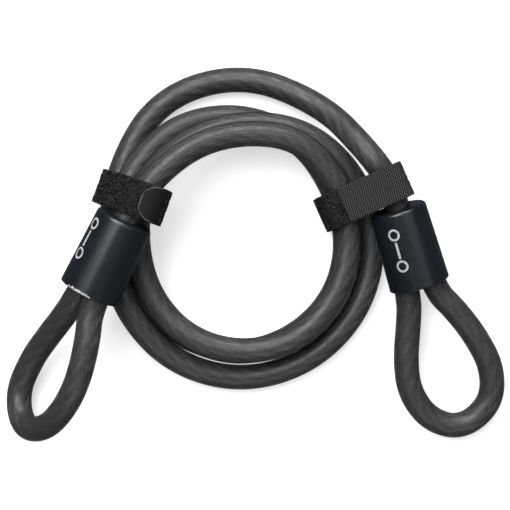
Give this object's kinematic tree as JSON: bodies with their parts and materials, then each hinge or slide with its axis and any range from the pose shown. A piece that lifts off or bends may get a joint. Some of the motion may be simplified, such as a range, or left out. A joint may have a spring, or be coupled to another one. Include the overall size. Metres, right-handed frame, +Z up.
{
  "type": "cable lock",
  "caption": "Coiled steel security cable in a smoked plastic jacket, with a covered crimped loop at each end and two hook-and-loop straps round the coil.",
  "frame": {"origin": "centre of the bottom face of the whole object's box, on the surface that it lies on", "axes": "+X from the left loop to the right loop, +Y from the loops towards the far side of the coil, +Z up"},
  "size_m": [0.2402, 0.1796, 0.0581],
  "materials": {
    "jacket": "smoked translucent vinyl, glossy",
    "rope": "drawn galvanised wire, twisted",
    "ferrule": "pressed, satin",
    "cover": "glossy blue-black moulding",
    "potting": "matt black resin",
    "loop_tape": "black napped loop tape",
    "hook_tape": "black woven hook tape",
    "thread": "black polyester thread"
  },
  "bodies": {
    "cable": {"main_jacket": "jacket", "left_loop_jacket": "jacket", "right_loop_jacket": "jacket", "rope_outer_strands": "rope", "rope_core_strand": "rope", "left_ferrule": "ferrule", "right_ferrule": "ferrule", "left_cover": "cover", "right_cover": "cover", "left_potting": "potting", "right_potting": "potting", "left_strap_band": "loop_tape", "right_strap_band": "loop_tape", "left_strap_stitching": "thread", "right_strap_stitching": "thread"},
    "left_tab": {"left_strap_tab": "hook_tape"},
    "right_tab": {"right_strap_tab": "hook_tape"}
  },
  "joints": [
    {"name": "left_tab_peel", "type": "hinge", "parent": "cable", "child": "left_tab", "pos_m": [-0.0421, 0.0202, 0.04565], "axis": [0.342, 0.9397, 0], "range_deg": [0, 150]},
    {"name": "right_tab_peel", "type": "hinge", "parent": "cable", "child": "right_tab", "pos_m": [0.07087, 0.03501, 0.03185], "axis": [-0.4067, 0.9136, 0], "range_deg": [0, 150]}
  ]
}
